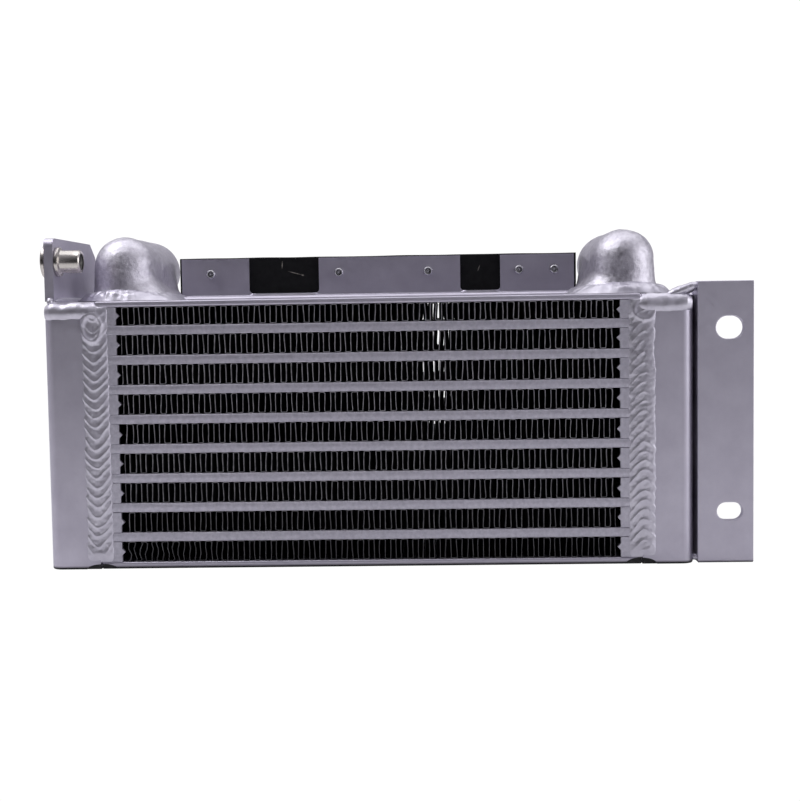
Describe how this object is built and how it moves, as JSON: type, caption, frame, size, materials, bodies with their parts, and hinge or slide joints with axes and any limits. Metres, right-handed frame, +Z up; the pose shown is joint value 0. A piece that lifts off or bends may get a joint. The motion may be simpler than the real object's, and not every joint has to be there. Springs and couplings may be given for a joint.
{
  "type": "hydraulic oil cooler",
  "caption": "Bar-and-plate hydraulic oil cooler: finned air rows between flat oil passages, welded end tanks, cast elbow ports on top and brackets with slots and a rivet nut.",
  "frame": {"origin": "under the middle of the whole cooler, on the plane it stands on", "axes": "+X along the core towards the slotted bracket, +Y from the front face to the ports' mouths, +Z up"},
  "size_m": [0.3378, 0.1046, 0.1614],
  "materials": {
    "silver_paint": "satin silver spray paint over aluminium",
    "cast_silver": "silver spray paint over rough sand-cast aluminium",
    "fin_sheet": "thin rolled fin sheet, painted at the faces and dark inside",
    "bare_aluminium": "bare mill aluminium",
    "zinc_steel": "zinc-plated steel",
    "black_rubber": "matte black rubber sheet"
  },
  "bodies": {
    "root": {"side_plate_bottom": "silver_paint", "side_plate_top": "silver_paint", "air_fin_1": "fin_sheet", "air_fin_2": "fin_sheet", "air_fin_3": "fin_sheet", "air_fin_4": "fin_sheet", "air_fin_5": "fin_sheet", "air_fin_6": "fin_sheet", "air_fin_7": "fin_sheet", "air_fin_8": "fin_sheet", "air_fin_9": "fin_sheet", "air_bar_left_1": "silver_paint", "air_bar_left_2": "silver_paint", "air_bar_left_3": "silver_paint", "air_bar_left_4": "silver_paint", "air_bar_left_5": "silver_paint", "air_bar_left_6": "silver_paint", "air_bar_left_7": "silver_paint", "air_bar_left_8": "silver_paint", "air_bar_left_9": "silver_paint", "air_bar_right_1": "silver_paint", "air_bar_right_2": "silver_paint", "air_bar_right_3": "silver_paint", "air_bar_right_4": "silver_paint", "air_bar_right_5": "silver_paint", "air_bar_right_6": "silver_paint", "air_bar_right_7": "silver_paint", "air_bar_right_8": "silver_paint", "air_bar_right_9": "silver_paint", "oil_passage_1": "silver_paint", "oil_passage_2": "silver_paint", "oil_passage_3": "silver_paint", "oil_passage_4": "silver_paint", "oil_passage_5": "silver_paint", "oil_passage_6": "silver_paint", "oil_passage_7": "silver_paint", "oil_passage_8": "silver_paint", "turbulator_1": "bare_aluminium", "turbulator_2": "bare_aluminium", "turbulator_3": "bare_aluminium", "turbulator_4": "bare_aluminium", "turbulator_5": "bare_aluminium", "turbulator_6": "bare_aluminium", "turbulator_7": "bare_aluminium", "turbulator_8": "bare_aluminium", "tank_left": "silver_paint", "tank_right": "silver_paint", "port_elbow_left": "cast_silver", "port_elbow_right": "cast_silver", "left_bracket": "silver_paint", "right_bracket": "silver_paint", "top_bracket": "silver_paint", "rubber_seal": "black_rubber", "rivet_nut": "zinc_steel", "rivet_1": "bare_aluminium", "rivet_2": "bare_aluminium", "rivet_3": "bare_aluminium", "rivet_4": "bare_aluminium", "rivet_5": "bare_aluminium"}
  },
  "joints": []
}
